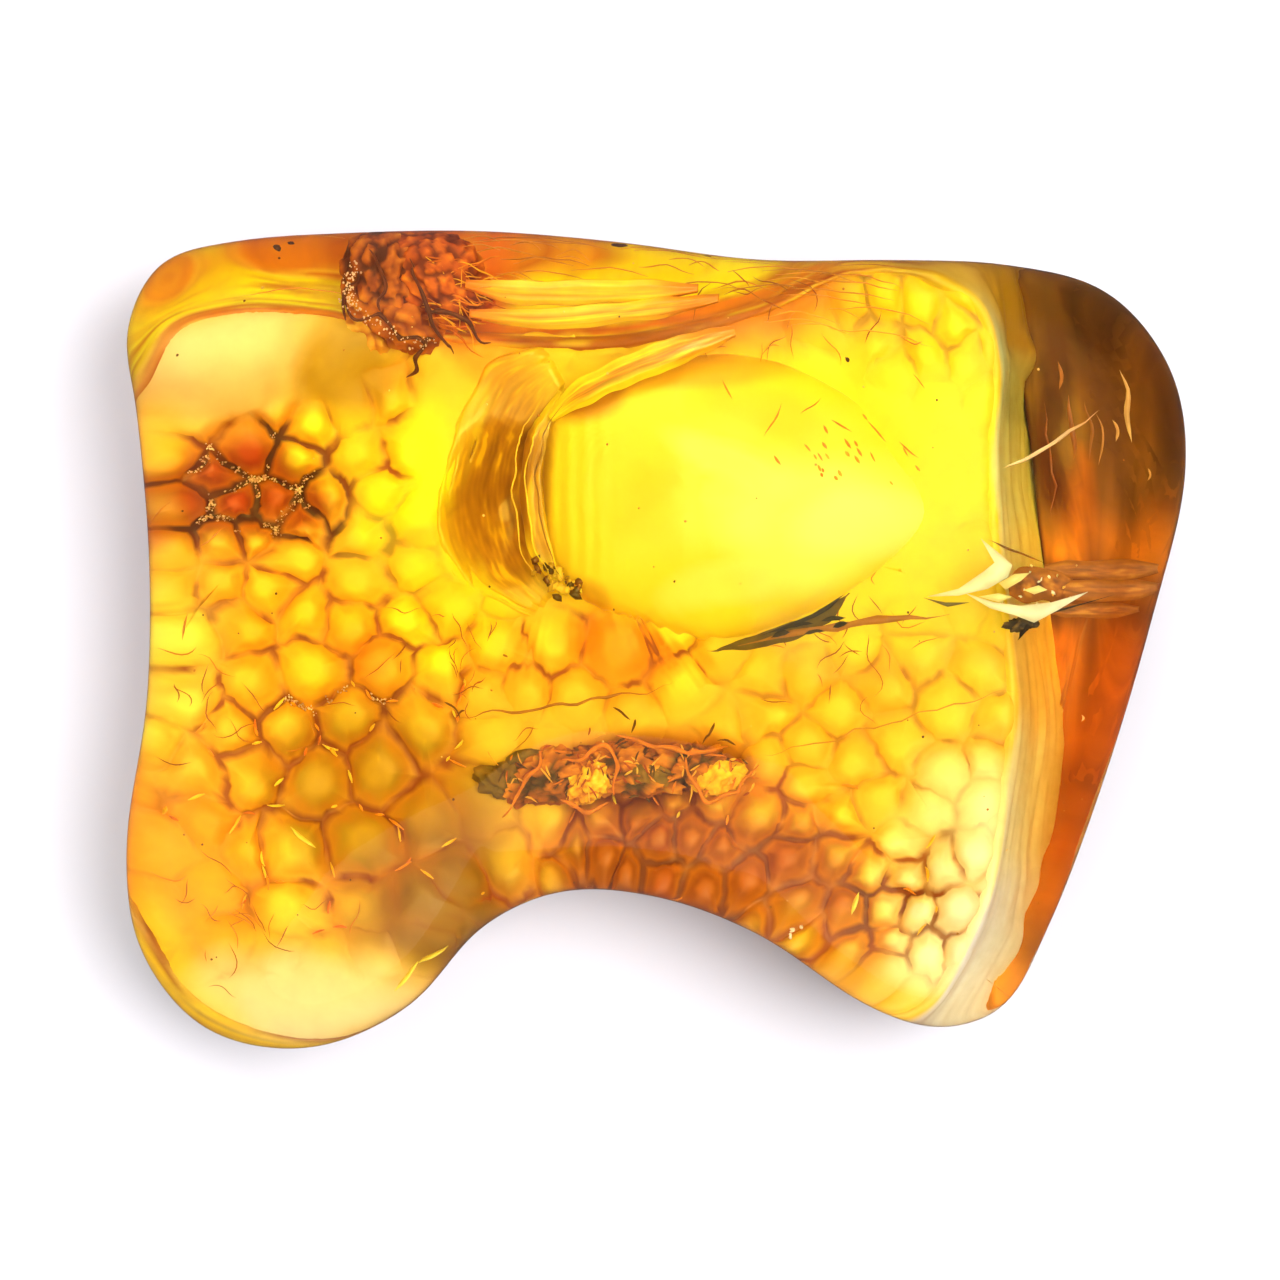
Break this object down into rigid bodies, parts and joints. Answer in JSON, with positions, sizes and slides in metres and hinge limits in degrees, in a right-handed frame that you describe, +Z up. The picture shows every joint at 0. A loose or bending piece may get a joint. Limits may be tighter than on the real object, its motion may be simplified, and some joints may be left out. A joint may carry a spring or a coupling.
{
  "type": "raw amber piece",
  "caption": "Polished free-form nugget of see-through golden amber with two rounded legs, a hollow between them and a flat ground base.",
  "frame": {"origin": "centre of the piece's footprint box, on the plane of the ground base", "axes": "+X along the length towards the thick smoky end, +Y away from the two legs and the hollow between them, +Z up out of the polished top"},
  "size_m": [0.0482, 0.0372, 0.015],
  "materials": {
    "amber": "polished see-through amber with a cloudy crazed layer inside"
  },
  "bodies": {
    "root": {"amber_nugget": "amber"}
  },
  "joints": []
}
